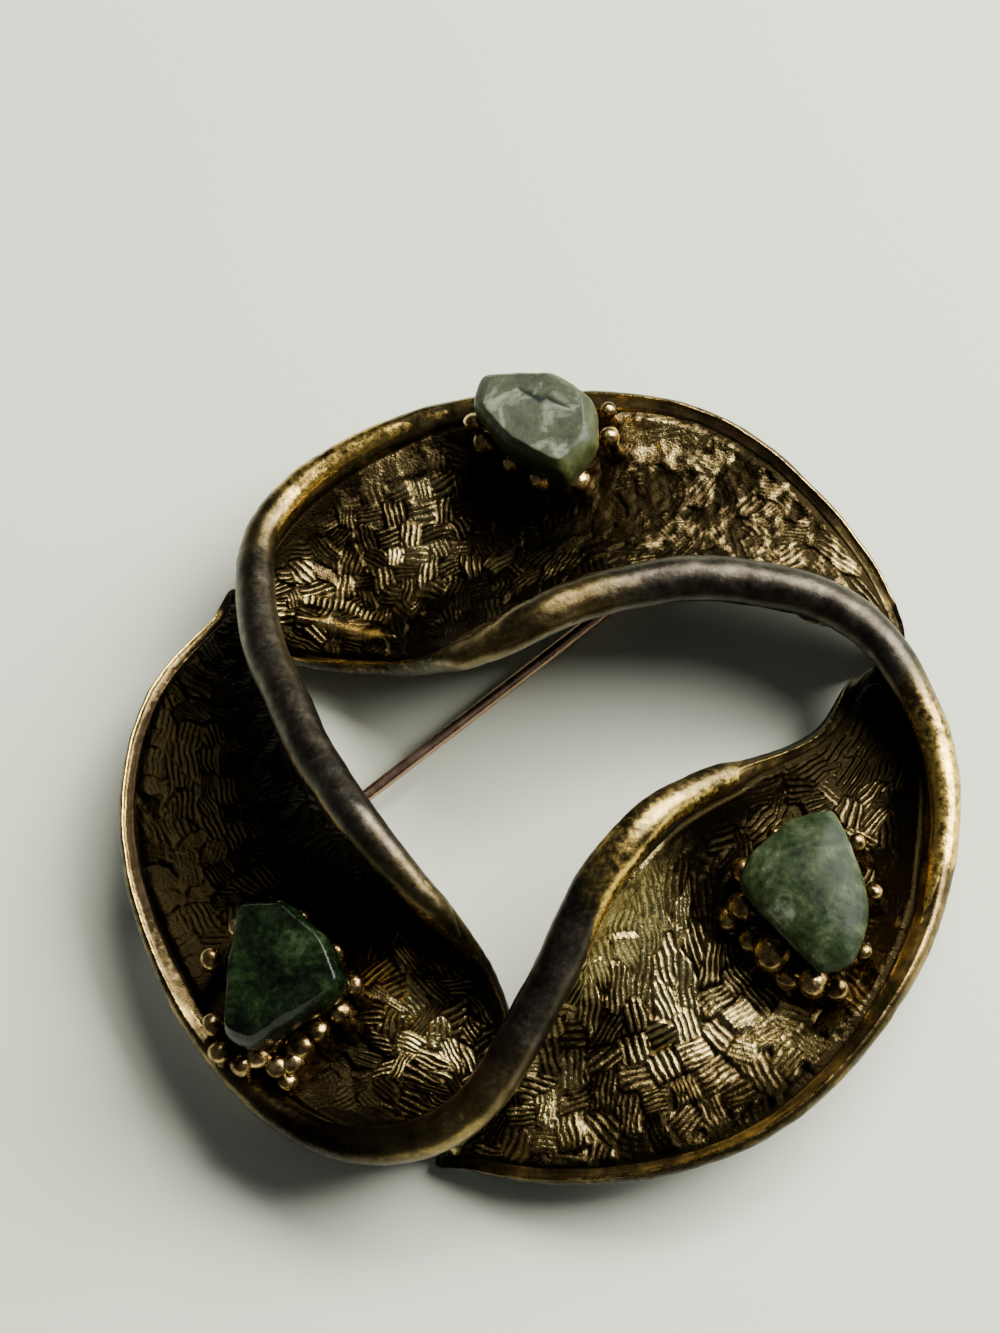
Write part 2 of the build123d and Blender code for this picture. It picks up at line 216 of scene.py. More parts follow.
def edge_points(at):
    """The middle of the rolled edge at places counted in thirds of its length."""
    at = np.mod(at, THIRDS)
    pace = np.interp(at, range(THIRDS + 1), (*TUCKS, TUCKS[0] + TWICE_ROUND))
    angle = np.radians(pace + EDGE_LEAD(at))
    reach = EDGE_REACH(at)
    return np.stack([reach * np.cos(angle), reach * np.sin(angle), LOWEST_BEAD + EDGE_RISE(at)], -1)


class Sheet:
    """The ribbon's middle surface at stations along it and shares of the way across it."""

    def __init__(self, at, across):
        self.across = across
        near, far = edge_points(at), edge_points(at + OPPOSITE)
        self.near_bead, self.far_bead = EDGE_BEAD(at)[:, None], EDGE_BEAD(at + OPPOSITE)[:, None]
        self.near, self.chord = near[:, None], (far - near)[:, None]
        self.length = np.linalg.norm(self.chord, axis=-1)
        round_the_ring = np.cross((0, 0, 1), near + far)
        self.up = unit(np.cross(round_the_ring, far - near))[:, None]
        self.depth = (TROUGH_DEPTH * np.sin(2 * pi * at))[:, None]
        self.middle = self.place(across)
        step = 0.02
        self.outward = unit(self.place(across - step) - self.place(across + step))
        along = -unit(self.chord)
        self.normal = (self.up * (self.outward * along).sum(-1, keepdims=True)
                       - along * (self.outward * self.up).sum(-1, keepdims=True))

    def place(self, across):
        """Points on the middle surface, which hollows to one side between its edges."""
        hollow = 1 - np.abs(2 * across - 1) ** TROUGH_FULLNESS
        return self.near + self.chord * across[..., None] - self.up * (self.depth * hollow)[..., None]

    def half_thickness(self):
        """Half the sheet, rising to the roll along each edge."""
        half = SHEET_THICKNESS / 2
        power = np.full(self.across.shape, half ** 4)
        for share, bead in ((self.across, self.near_bead), (1 - self.across, self.far_bead)):
            away = share * self.length / (ROLL_REACH * bead)
            roll = ROLL_SHARE * bead * np.sqrt(np.clip(1 - away ** 2, 0, 1))
            power = np.maximum(power, half ** 4 * smooth(away * 4) + roll ** 4)
        return power ** 0.25


def wobble(points, wave, seed):
    """Random unevenness, mostly from -1 to 1, made of plane waves."""
    rng = np.random.default_rng(seed)
    directions = unit(rng.normal(size=(WAVES, 3)))
    lengths = wave * rng.uniform(0.7, 1.5, WAVES)
    phases = rng.uniform(0, 2 * pi, WAVES)
    waves = sum(np.sin(points @ direction * (2 * pi / length) + phase)
                for direction, length, phase in zip(directions, lengths, phases))
    return waves / WAVES * 1.6


def roughness(points, rows, lobe=0):
    """The rows' unevenness added up, another on each lobe."""
    return sum(row.depth * wobble(points, row.wave, row.seed + lobe) for row in rows)


# Where the ring stands in the CAD model's frame, from the hinge of the pin

top_end, left_end = (np.array([*share, 0.0]) * RING_RADIUS for share in (PIN_AT_TOP, PIN_AT_LEFT))
PIN_ALONG = unit(left_end - top_end)
HINGE = top_end - PIN_ALONG * PIN_UNDER_TOP * RING_RADIUS + (0, 0, PIN_HEIGHT)
CATCH = left_end + PIN_ALONG * PIN_UNDER_LEFT * RING_RADIUS + (0, 0, PIN_HEIGHT)
RING_TO_FRAME = np.array(frame["joints"][0]["pos_m"]) - HINGE * MM


def to_frame(points):
    """Points of the ring in the CAD model's frame, in metres."""
    return np.asarray(points, float) * MM + RING_TO_FRAME


# Meshes

def add_object(name, data):
    thing = bpy.data.objects.new(name, data)
    bpy.context.scene.collection.objects.link(thing)
    return thing


def mesh_piece(name, points, faces, material, values=None, slot="antiqued_metal"):
    """A mesh on the brooch's body, with a number per point for each of the values."""
    mesh = bpy.data.meshes.new(name)
    mesh.from_pydata(to_frame(points).reshape(-1, 3).tolist(), [], [tuple(face) for face in faces])
    mesh.shade_smooth()
    for key, numbers in (values or {}).items():
        attribute = mesh.attributes.new(key, "FLOAT", "POINT")
        numbers = np.broadcast_to(numbers, points.shape[:-1]).astype(np.float32)
        attribute.data.foreach_set("value", numbers.ravel())
    mesh.materials.append(material)
    piece = add_object(name, mesh)
    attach(piece, "frame")
    return piece


def grid_quads(rows, columns, close_rows=False, close_columns=False, flip=False):
    """The quads of a grid of rows x columns points, closed round either way."""
    row_steps = rows if close_rows else rows - 1
    column_steps = columns if close_columns else columns - 1
    i, j = np.meshgrid(np.arange(row_steps), np.arange(column_steps), indexing="ij")
    next_i, next_j = (i + 1) % rows, (j + 1) % columns
    quads = np.stack([i * columns + j, next_i * columns + j,
                      next_i * columns + next_j, i * columns + next_j], -1).reshape(-1, 4)
    return quads[:, ::-1] if flip else quads


def tube_faces(rows, columns):
    """The faces of a tube of rings of points, with a flat cap at each end."""
    quads = [tuple(quad) for quad in grid_quads(rows, columns, close_columns=True, flip=True)]
    return quads + [tuple(range(columns))[::-1], tuple((rows - 1) * columns + np.arange(columns))]


def joined(parts):
    """Several (points, faces) meshes as one."""
    points, faces, count = [], [], 0
    for part_points, part_faces in parts:
        points.append(part_points.reshape(-1, 3))
        faces += [tuple(int(i) + count for i in face) for face in part_faces]
        count += len(points[-1])
    return np.concatenate(points), faces


# Materials. A ramp's colours are pairs of a place from 0 to 1 and the colour there.

BROWN = [(0.32, (0.042, 0.030, 0.012)), (0.52, (0.13, 0.095, 0.038)), (0.72, (0.38, 0.26, 0.09))]
GOLD = [(0.30, (0.50, 0.33, 0.09)), (0.62, (0.92, 0.62, 0.14))]
PEWTER = [
    (0.32, (0.022, 0.018, 0.013)), (0.52, (0.050, 0.043, 0.033)), (0.72, (0.105, 0.090, 0.066))]
BLACKENED = (0.009, 0.006, 0.003, 1)
WOVEN = [
    (0.0, (0.011, 0.008, 0.003)), (0.22, (0.125, 0.088, 0.035)), (0.46, (0.42, 0.325, 0.125)),
    (0.78, (0.95, 0.80, 0.36))]
GRAINS = [(0.36, (0.055, 0.033, 0.012)), (0.52, (0.32, 0.21, 0.075)), (0.7, (0.80, 0.60, 0.26))]
COPPER = [(0.3, (0.36, 0.22, 0.145)), (0.7, (0.60, 0.41, 0.29))]
FROSTED = [(0.36, (0.024, 0.030, 0.015)), (0.52, (0.050, 0.058, 0.034)), (0.64, (0.19, 0.20, 0.145))]
VEIN = (0.030, 0.040, 0.030, 1)
IN_CRACK = (0.006, 0.010, 0.008, 1)
PALE_TABLE = [(0.3, (0.69, 0.73, 0.585)), (0.7, (0.73, 0.77, 0.62))]

# A stone's colours, the size of its clouds, its roughness and gloss, and how frosted its table is
StoneLook = namedtuple("StoneLook", "colours cloud rough gloss frost")
STONE_LOOKS = {
    "stone_top": StoneLook([
        (0.30, (0.010, 0.014, 0.002)), (0.50, (0.024, 0.030, 0.006)),
        (0.70, (0.052, 0.063, 0.016))], 2.0, 0.35, 0.25, 0.95),
    "stone_left": StoneLook([
        (0.36, (0.0005, 0.0013, 0.0003)), (0.50, (0.0024, 0.0062, 0.0015)),
        (0.60, (0.007, 0.016, 0.004)), (0.74, (0.028, 0.042, 0.019))], 2.6, 0.19, 0.22, 0.0),
    "stone_right": StoneLook([
        (0.34, (0.004, 0.009, 0.002)), (0.48, (0.014, 0.025, 0.007)),
        (0.60, (0.036, 0.050, 0.021)), (0.72, (0.105, 0.125, 0.080))], 2.0, 0.40, 0.12, 0.0),
}


def set_inputs(tree, node, inputs):
    """Links a node's inputs to the sockets given, and sets the others to values."""
    for key, value in inputs.items():
        if isinstance(value, bpy.types.NodeSocket):
            tree.links.new(value, node.inputs[key])
        else:
            node.inputs[key].default_value = value


def new_material(name, **inputs):
    """A material and its nodes, with the values set on its shader."""
    material = bpy.data.materials.new(name)
    material.use_nodes = True
    tree = material.node_tree
    set_inputs(tree, tree.nodes["Principled BSDF"],
               {key.replace("_", " "): value for key, value in inputs.items()})
    return material, tree


def add_node(tree, kind, inputs=(), **settings):
    """A node with its settings and inputs."""
    node = tree.nodes.new(kind)
    for key, value in settings.items():
        setattr(node, key, value)
    set_inputs(tree, node, dict(inputs))
    return node


def vertex_value(tree, name):
    return add_node(tree, "ShaderNodeAttribute", attribute_name=name).outputs["Fac"]


def noise(tree, size, detail=3.0, rough=0.55, stretch=(1, 1, 1), distortion=0.0):
    """Noise from 0 to 1 whose lumps are about that many millimetres."""
    place = add_node(tree, "ShaderNodeTexCoord").outputs["Object"]
    mapped = add_node(tree, "ShaderNodeMapping", {"Vector": place, "Scale": stretch})
    return add_node(tree, "ShaderNodeTexNoise", {
        "Vector": mapped.outputs["Vector"], "Scale": 1 / (size * MM), "Detail": detail,
        "Roughness": rough, "Distortion": distortion}).outputs["Fac"]


def ramp(tree, source, *stops):
    """A colour or grey that follows a number: stops are (place, value)."""
    node = add_node(tree, "ShaderNodeValToRGB", {"Fac": source})
    elements = node.color_ramp.elements
    while len(elements) < len(stops):
        elements.new(0.5)
    for element, (place, value) in zip(elements, stops):
        element.position = place
        element.color = (*value, 1) if isinstance(value, tuple) else (value, value, value, 1)
    return node.outputs["Color"]


def mixed(tree, factor, first, second):
    """The first colour where the factor is 0 and the second where it is 1."""
    inputs = {0: factor, 6: first, 7: second}
    return add_node(tree, "ShaderNodeMix", inputs, data_type="RGBA").outputs[2]


def scaled(tree, source, amount):
    return add_node(tree, "ShaderNodeMath", {0: source, 1: amount}, operation="MULTIPLY").outputs[0]


def total(tree, first, *rest):
    """Several numbers added up."""
    for source in rest:
        first = add_node(tree, "ShaderNodeMath", {0: first, 1: source}, operation="ADD").outputs[0]
    return first


def centred(tree, source, amount):
    """A 0 to 1 number as a push either side of none."""
    return scaled(tree, total(tree, source, -0.5), amount)


def dress(tree, colour, rough, relief=None, depth=0.0):
    """Gives the shader its colour and roughness, and any relief, that many millimetres deep."""
    inputs = {"Base Color": colour, "Roughness": rough}
    if relief:
        bump = add_node(tree, "ShaderNodeBump", {"Height": relief, "Distance": depth * MM})
        inputs["Normal"] = bump.outputs["Normal"]
    set_inputs(tree, tree.nodes["Principled BSDF"], inputs)


def band_material():
    """Gold plate: a bright lip, brown hollows, and ridges worn through to grey metal, darkened by the
    shade value, which on thin rims' outer flanks is painted shade.
    """
    material, tree = new_material("antiqued_gold", Metallic=1.0)
    wear, shade, lip = (vertex_value(tree, name) for name in ("wear", "shade", "lip"))
    blotch, fine = noise(tree, 2.2, 5, 0.62), noise(tree, 0.35, 4, 0.6)
    bright = total(tree, lip, centred(tree, blotch, 1.3), centred(tree, fine, 0.9))
    plated = mixed(tree, ramp(tree, bright, (0.50, 0.0), (0.95, 1.0)),
                   ramp(tree, blotch, *BROWN), ramp(tree, fine, *GOLD))
    worn = total(tree, wear, centred(tree, blotch, 0.8))
    metal = mixed(tree, ramp(tree, worn, (0.38, 0.0), (0.66, 1.0)),
                  plated, ramp(tree, noise(tree, 1.6, 5, 0.62), *PEWTER))
    # The shade value stains the metal dark: patina, and painted shade on thin rims' outer flanks
    dark = total(tree, shade, centred(tree, fine, 0.6))
    stained = mixed(tree, ramp(tree, dark, (0.30, 0.0), (0.85, 1.0)), metal, BLACKENED)
    dull = total(tree, fine, scaled(tree, lip, -0.25), scaled(tree, wear, 0.3))
    relief = total(tree, scaled(tree, fine, 0.5), blotch)
    dress(tree, stained, ramp(tree, dull, (0.1, 0.17), (0.95, 0.50)), relief, 0.05)
    return material


def skin_material():
    """The cast weave: gold along the tops of its ridges over dark brown patina, darkened by the shade
    value, which holds painted shade as well as patina.
    """
    material, tree = new_material("woven_gold", Metallic=1.0)
    top, shade, bundle = (vertex_value(tree, name) for name in ("top", "shade", "bundle"))
    blotch, fine = noise(tree, 0.9, 5, 0.65), noise(tree, 0.14, 3, 0.6)
    rub_and_shade = total(tree, scaled(tree, top, 0.62), centred(tree, fine, 0.45), centred(tree, bundle, 0.35),
                centred(tree, blotch, 1.3), scaled(tree, shade, -0.75))
    dress(tree, ramp(tree, rub_and_shade, *WOVEN), ramp(tree, rub_and_shade, (0.0, 0.42), (0.5, 0.19)),
          total(tree, fine, blotch), 0.05)
    return material


def bead_material():
    """Cast grains: gold where they are rubbed, brown between."""
    material, tree = new_material("bead_gold", Metallic=1.0)
    blotch, fine = noise(tree, 0.8, 4, 0.6), noise(tree, 0.25, 3)
    dress(tree, ramp(tree, blotch, *GRAINS), ramp(tree, fine, (0.3, 0.16), (0.7, 0.34)),
          fine, 0.02)
    return material


def wire_material():
    """Copper-toned drawn wire, a little streaked."""
    material, tree = new_material("copper_wire", Metallic=1.0)
    streak = noise(tree, 1.6, 4, 0.6)
    dress(tree, ramp(tree, streak, *COPPER), ramp(tree, streak, (0.3, 0.22), (0.75, 0.36)))
    return material


def stone_material(node):
    """Cloudy green stone, whose table may be frosted, veined and cracked."""
    look = STONE_LOOKS[node]
    material, tree = new_material(
        node + "_green", Metallic=0.0, Subsurface_Weight=0.2, Subsurface_Scale=0.0008,
        Subsurface_Radius=(0.5, 1.0, 0.4), Specular_IOR_Level=look.gloss, IOR=1.55)
    cloudy = noise(tree, look.cloud, 5, 0.62, distortion=0.8)
    speck = noise(tree, 0.4, 3, 0.6)
    body = ramp(tree, total(tree, cloudy, centred(tree, speck, 0.36)), *look.colours)
    vein = noise(tree, 2.6, 1, 0.4, stretch=(0.5, 1.8, 1))
    veined = mixed(tree, ramp(tree, vein, (0.475, 0.0), (0.50, 0.5), (0.525, 0.0)),
                   ramp(tree, cloudy, *FROSTED), VEIN)
    cracked = mixed(tree, vertex_value(tree, "crack"), veined, IN_CRACK)
    frosted = mixed(tree, scaled(tree, vertex_value(tree, "table"), look.frost), body, cracked)
    rough = ramp(tree, speck, (0.3, look.rough), (0.7, look.rough + 0.15))
    dress(tree, frosted, rough, speck, 0.03)
    return material


def table_material():
    """A pale table, faintly mottled."""
    material, tree = new_material("pale_table", Metallic=0.0)
    dress(tree, ramp(tree, noise(tree, 60.0, 2, 0.5), *PALE_TABLE), 0.6)
    return material


BAND = band_material()
SKIN = skin_material()
BEADS = bead_material()
WIRE = wire_material()


# Wear and patina, with painted shade and painted glints, as stains in the ring's plane: the middle of
# each, its radius and its amount

# How thick the patina lies on the top, left and right lobe, with painted shade added on the left lobe,
# which turns away from the light
LOBE_PATINA_AND_SHADE = (0.38, 0.92, 0.30)
# Where it lies thicker (more than 0), with painted shadow below and beside the stones, or is rubbed
# away (less than 0), with painted glints where the gold catches the light
SKIN_PATINA_SHADOWS_AND_GLINTS = [
    (0.0, 18.9, 3.4, 0.9), (-3.1, 20.6, 3.0, 0.8), (-4.6, 12.6, 4.0, 0.3), (-8.4, 16.6, 3.4, -0.6),
    (6.4, 23.0, 2.2, -0.9), (13.6, 18.5, 6.5, -0.25), (-7.9, 20.9, 2.0, -0.5),
    (11.9, -8.2, 3.0, 1.0), (9.4, -4.1, 3.0, 0.4), (19.1, 4.2, 5.0, 0.9), (20.9, -5.9, 3.0, 0.25),
    (7.0, -8.5, 3.6, -1.1), (8.8, -14.5, 4.0, -0.3), (1.5, -18.4, 3.0, -0.4),
    (13.0, -15.0, 3.0, -0.4), (-21.2, 3.9, 8.0, 0.35), (-20.8, -4.0, 5.0, 0.6),
    (-16.5, -2.7, 7.0, 0.4), (-13.3, -19.4, 3.4, 0.2), (-6.2, -14.2, 3.4, -1.3),
    (-8.7, -11.4, 2.6, -0.6),
]
# Where the weave is worn nearly smooth, or stands sharp (less than 0)
SKIN_WEAR = [
    (13.6, 19.0, 8.0, 1.0), (6.0, 17.0, 5.0, 0.6), (1.5, -18.4, 3.5, 0.5), (9.4, -4.1, 3.5, 0.6),
    (-8.7, -11.4, 3.0, 0.7), (-13.3, -19.4, 4.0, 0.6), (8.8, -14.5, 5.0, -0.4),
    (-8.4, 16.6, 4.0, -0.35), (-16.5, -2.7, 4.0, -0.2),
]
# Where the ridges' plate is worn through to the grey metal, is still gold, and is stained brown
RIDGE_WEAR = [
    (11.6, 9.1, 6.5, 0.5), (-15.3, 9.1, 7.0, 0.4), (2.4, -13.0, 5.0, 0.55), (-9.0, -1.5, 6.0, 0.45),
    (20.0, 10.0, 5.0, 0.4),
]
RIDGE_GOLD = [
    (-11.0, 20.5, 5.5, 0.45), (22.5, -2.0, 9.0, 0.45), (5.0, -8.5, 4.5, 0.35),
]
RIDGE_STAINS = [(-11.5, -20.0, 6.0, 0.75), (-16.0, 16.0, 4.0, 0.2)]
# Where a rim's hollow is brown beside a broader gold lip
RIM_TARNISH = [
    (-23.0, -1.0, 8.5, 1.0), (-19.5, -13.0, 6.5, 0.7), (-18.0, 11.0, 5.0, 0.7),
]


def spread(points, stains):
    """The sum of the stains' amounts at points, each fading from its middle."""
    amount = np.zeros(points.shape[:-1])
    for x, y, radius, most in stains:
        away = np.hypot(points[..., 0] - x, points[..., 1] - y) / radius
        amount += most * np.exp(-away ** 2)
    return amount


# The ribbon

def skin_range(lobe):
    """Where a lobe's skin starts and ends, a little past the lobe's own ends."""
    return lobe / 2 - SKIN_OVERRUN, (lobe + 1) / 2 + SKIN_OVERRUN


def under_skin(at, side):
    """1 where a woven skin lies on that side of the band, 0 elsewhere, with soft ends."""
    most = np.zeros_like(at)
    for lobe in range(THIRDS):
        start, end = skin_range(lobe)
        for shift in (-OPPOSITE, 0, OPPOSITE):
            if side * (1 if shift == 0 else -1) == FRONTS[lobe]:
                here = at + shift
                fade = smooth((here - start) / SKIN_FADE) * smooth((end - here) / SKIN_FADE)
                most = np.maximum(most, fade)
    return most


def thin_rim(bead):
    """1 where the roll is a thin outer rim, 0 where it is a thick ridge."""
    return 1 - smooth((bead / (RIDGE_BEAD / 2) - 0.60) / 0.10)


def skin_start(bead):
    """How far from the edge line a skin begins, in shares of the roll."""
    return SKIN_FROM_RIDGE + (SKIN_FROM_RIM - SKIN_FROM_RIDGE) * thin_rim(bead)


def dished(rise, outward, rim):
    """How high a thin rim's front stands, in shares of its roll: hollow inside a lip."""
    hollow = (1 - smooth((outward - 1 + 1.9 * LIP_SHARE) / LIP_SHARE)) * rim
    return rise - np.maximum(rise - DISH_FLOOR, 0) * hollow


def band_sheet(at):
    """The band's middle surface, with most of its places across in the two rolls."""
    ends = Sheet(at, np.zeros((len(at), 1)))
    near = BAND_ROLLS * ends.near_bead / ends.length
    far = 1 - BAND_ROLLS[::-1] * ends.far_bead / ends.length
    plain = np.linspace(0, 1, BAND_FLATS + 2)[1:-1]
    return Sheet(at, np.concatenate([near, near[:, -1:] + (far[:, :1] - near[:, -1:]) * plain, far], 1))


def looped(over, far, under, near):
    """Values over the band, round its far edge, back under it and round its near edge."""
    shape = (len(over), CAP_TURNS.size, *over.shape[2:])
    far, near = np.broadcast_to(far, shape), np.broadcast_to(near, shape)
    return np.concatenate([over, far, under[:, ::-1], near[:, ::-1]], 1)


def band_half(half, bead, reach, front):
    """How far one side stands off the middle: dished along a rim, sunk under a skin."""
    rim = thin_rim(bead) * front * (1 - smooth((reach - 1) / 0.3))
    sunk = smooth((reach - skin_start(bead)) / 0.15) * front
    return dished(half / bead, -reach, rim) * bead - SKIN_SINK * sunk


def rolled_edge(sheet, half, bead, fronts, edge):
    """The points round the band's near edge (0) or far edge (-1), and their ways out."""
    rim = thin_rim(bead[:, [edge]])
    above, below = (dished(CAP_COSINES, CAP_SINES, rim * front) for front in fronts)
    rise = np.where(CAP_COSINES > 0, above, -below[:, ::-1])[..., None]
    outward = sheet.outward[:, [edge]] * (1 if edge == 0 else -1)
    way = sheet.normal[:, [edge]] * rise + outward * CAP_SINES[..., None]
    return sheet.middle[:, [edge]] + way * half[:, [edge], None], unit(way)


def band_faces(rows, columns):
    """The quads of the band's loops, the last of which joins the first half a turn on."""
    step, last = np.arange(columns), (rows - 1) * columns
    turned = (step + columns // 2) % columns
    closing = np.stack([last + step, turned, np.roll(turned, -1), last + np.roll(step, -1)], -1)
    return np.concatenate([grid_quads(rows, columns, close_columns=True), closing])


def band_finish(points, bead, outward, facing):
    """How worn, stained and gilt the band is: a rim has a gold lip with brown inside it and painted
    shade on its outer flank.
    """
    share, thin = bead / (RIDGE_BEAD / 2), thin_rim(bead)
    on_roll = smooth((outward + 1.25) / 0.5)
    wear = on_roll * smooth((share - 0.70) / 0.22) * smooth((outward + 1.0) / 0.6)
    tarnish = np.clip(spread(points, RIM_TARNISH), 0, 1)
    gold_from = 0.74 - 0.26 * tarnish
    gold = smooth((outward - gold_from) / 0.10) * smooth((facing - 0.42) / 0.2)
    lip = 0.15 + 1.05 * gold * thin - 0.25 * thin * (1 - smooth(outward - 0.3))
    hollow = 0.45 * thin * (1 - smooth((outward - 0.3) / 0.4))
    # Painted shade: the outer flank of a thin rim, turned away from the front, is darkened
    flank = 0.80 * thin * on_roll * (1 - smooth((facing - 0.35) / 0.25))
    tarnished = 1.5 * thin * tarnish * (1 - smooth((outward - 0.36) / 0.22))
    shade = np.maximum.reduce([(1 - on_roll) * 0.9, hollow, flank, tarnished])
    return {"wear": wear, "shade": shade, "lip": lip}


def make_band():
    """The closed band, whose rolled edge is one line that runs round twice."""
    at = OPPOSITE * np.arange(BAND_STATIONS) / BAND_STATIONS
    sheet = band_sheet(at)
    half = sheet.half_thickness()
    half = half - ROLL_FLATTENED * np.clip(half - SHEET_THICKNESS / 2, 0, 1)
    by_near = np.arange(half.shape[1]) < half.shape[1] // 2
    bead = np.where(by_near, sheet.near_bead, sheet.far_bead)
    reach = np.where(by_near, sheet.across, 1 - sheet.across) * sheet.length / bead
    fronts = [under_skin(at, side)[:, None] for side in (1, -1)]
    over, under = (band_half(half, bead, reach, front)[..., None] for front in fronts)
    far, far_ways = rolled_edge(sheet, half, bead, fronts, -1)
    near, near_ways = rolled_edge(sheet, half, bead, fronts, 0)
    loops = looped(sheet.middle + sheet.normal * over, far, sheet.middle - sheet.normal * under, near)
    ways = looped(sheet.normal, far_ways, -sheet.normal, near_ways)
    points = loops - ways * (BAND_INSET - roughness(loops, BAND_ROUGH))[..., None]
    ones = np.ones_like(reach)
    facing = looped(ones, CAP_COSINES, -ones, CAP_COSINES) * (fronts[0] - fronts[1])
    values = band_finish(loops, looped(bead, bead[:, -1:], bead, bead[:, :1]),
                         looped(-reach, CAP_SINES, -reach, CAP_SINES), facing)
    piece = mesh_piece("ribbon_band", points, band_faces(*loops.shape[:2]), BAND, values)
    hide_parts("ribbon_frame")


def make_ridges():
    """The thick, round roll of the ridges, which sinks into the band along the rims."""
    at = THIRDS * np.arange(ROLL_STATIONS) / ROLL_STATIONS
    line, bead = edge_points(at), EDGE_BEAD(at)
    ahead = unit(np.roll(line, -1, 0) - np.roll(line, 1, 0))
    inward = edge_points(at + OPPOSITE) - line
    inward = unit(inward - ahead * (inward * ahead).sum(-1, keepdims=True))
    third = np.cross(ahead, inward)
    thick = 1 - thin_rim(bead)
    radius = bead * (RIDGE_CORE + (1 - RIDGE_CORE) * thick)
    shell = ways_round(ROLL_SIDES, inward[:, None], third[:, None])
    points = line[:, None] + shell * radius[:, None, None]
    points = points + shell * (roughness(points, ROLL_ROUGH) - ROLL_INSET)[..., None]
    rubbed, plated, stained = (
        spread(line, stains)[:, None] for stains in (RIDGE_WEAR, RIDGE_GOLD, RIDGE_STAINS))
    thick = thick[:, None]
    flank = smooth(((shell * inward[:, None]).sum(-1) - 0.25) / 0.5)
    wear = thick * (0.35 + rubbed) * (1 - 0.85 * flank)
    lip = 0.36 + 0.4 * flank * thick - 0.4 * rubbed + plated
    faces = grid_quads(ROLL_STATIONS, ROLL_SIDES, close_rows=True, close_columns=True, flip=True)
    mesh_piece("ridge_rolls", points, faces, BAND, {"wear": wear, "lip": lip, "shade": 0.12 + stained})


# The woven skin

# Places on a lobe where the carver's strokes run long and side by side: the lobe, the shares of its
# length and of its width between which they lie, their turn from the ribbon's run, and their length
STROKES = [
    (0, -0.12, 0.20, 0.0, 1.0, 5.0, 3.4), (0, 0.88, 1.12, 0.0, 1.0, 20.0, 3.0),
    (1, 0.80, 1.12, 0.0, 1.0, 10.0, 3.4), (1, 0.22, 0.40, 0.72, 1.0, 12.0, 2.2),
    (1, 0.34, 0.60, 0.30, 0.55, 70.0, 2.4), (1, -0.12, 0.26, 0.0, 1.0, 80.0, 3.2),
    (2, -0.12, 0.10, 0.0, 1.0, 15.0, 3.0), (2, 0.24, 0.50, 0.45, 1.0, 60.0, 3.6),
    (2, 0.74, 1.12, 0.0, 1.0, 5.0, 3.2),
]

# A smooth crease in the top lobe's near end, with a beaded strip beside it, in the ring's plane
FOLD_LOBE = 0
FOLD = [(-15.4, 12.4), (-13.3, 11.9), (-11.2, 11.0), (-9.0, 10.2)]
BEADED = [(-14.9, 13.5), (-12.4, 13.1), (-9.8, 11.7)]
BEADED_PITCH = 0.36


def from_line(points, line):
    """How far points lie from a line through places, and where along it, as length and share."""
    nearest, along = np.full(points.shape[:-1], np.inf), np.zeros(points.shape[:-1])
    start = 0.0
    for first, second in zip(line[:-1], line[1:]):
        step = np.subtract(second, first)
        length = np.hypot(*step)
        share = np.clip((points - first) @ step / length ** 2, 0, 1)
        away = np.linalg.norm(points - first - share[..., None] * step, axis=-1)
        closer = away < nearest
        nearest[closer], along[closer] = away[closer], (start + share * length)[closer]
        start += length
    return nearest, along, along / start


def folded(points, height, top):
    """The weave's height and shine with the crease and the beaded strip pressed over them."""
    away, _, share = from_line(points, FOLD)
    crease = np.exp(-(away / (0.12 + 0.40 * np.sin(pi * share))) ** 2)
    height = height * (1 - crease) + 0.34 * crease - 0.12 * np.exp(-((away - 0.8) / 0.3) ** 2)
    top = top * (1 - crease) + 1.5 * crease
    away, along, _ = from_line(points, BEADED)
    strip = 1 - smooth((away - 0.2) / 0.2)
    beads = 0.5 + 0.5 * np.cos(2 * pi * along / BEADED_PITCH)
    return height * (1 - strip) + 0.15 * beads * strip, top * (1 - strip) + 0.9 * beads * strip


def skin_edges(at):
    """Where across the band a skin meets the two rolls, in shares, and the way across."""
    ends = Sheet(at, np.zeros((len(at), 1)))
    first, last = (skin_start(bead) * bead / ends.length for bead in (ends.near_bead, ends.far_bead))
    return first, 1 - last, ends.length


def bundle_rows(lobe, rng):
    """Bundles in rows along a lobe: where along and across it, and which of two ways they turn."""
    pitch = BUNDLE_PITCH[lobe]
    start, end = skin_range(lobe)
    at = np.linspace(start, end, 260)
    first, last, length = (column[:, 0] for column in skin_edges(at))
    found = []
    for row in range(-BUNDLE_ROWS, BUNDLE_ROWS + 1):
        line = Sheet(at, (0.5 + row * pitch / length)[:, None]).middle[:, 0]
        run = distances(line)
        places = np.arange(rng.uniform(0, pitch), run[-1], pitch)
        station = np.interp(places, run, at)
        share = 0.5 + row * pitch / np.interp(station, at, length)
        parity = (np.arange(len(places)) + row) % 2
        inside = ((share > np.interp(station, at, first) - 0.05)
                  & (share < np.interp(station, at, last) + 0.05))
        found.append(np.stack([station, share, parity])[:, inside])
    return np.concatenate(found, 1)


Bundles = namedtuple(
    "Bundles", "centre normal along across half_length half_width pitch phase lean shine depth")


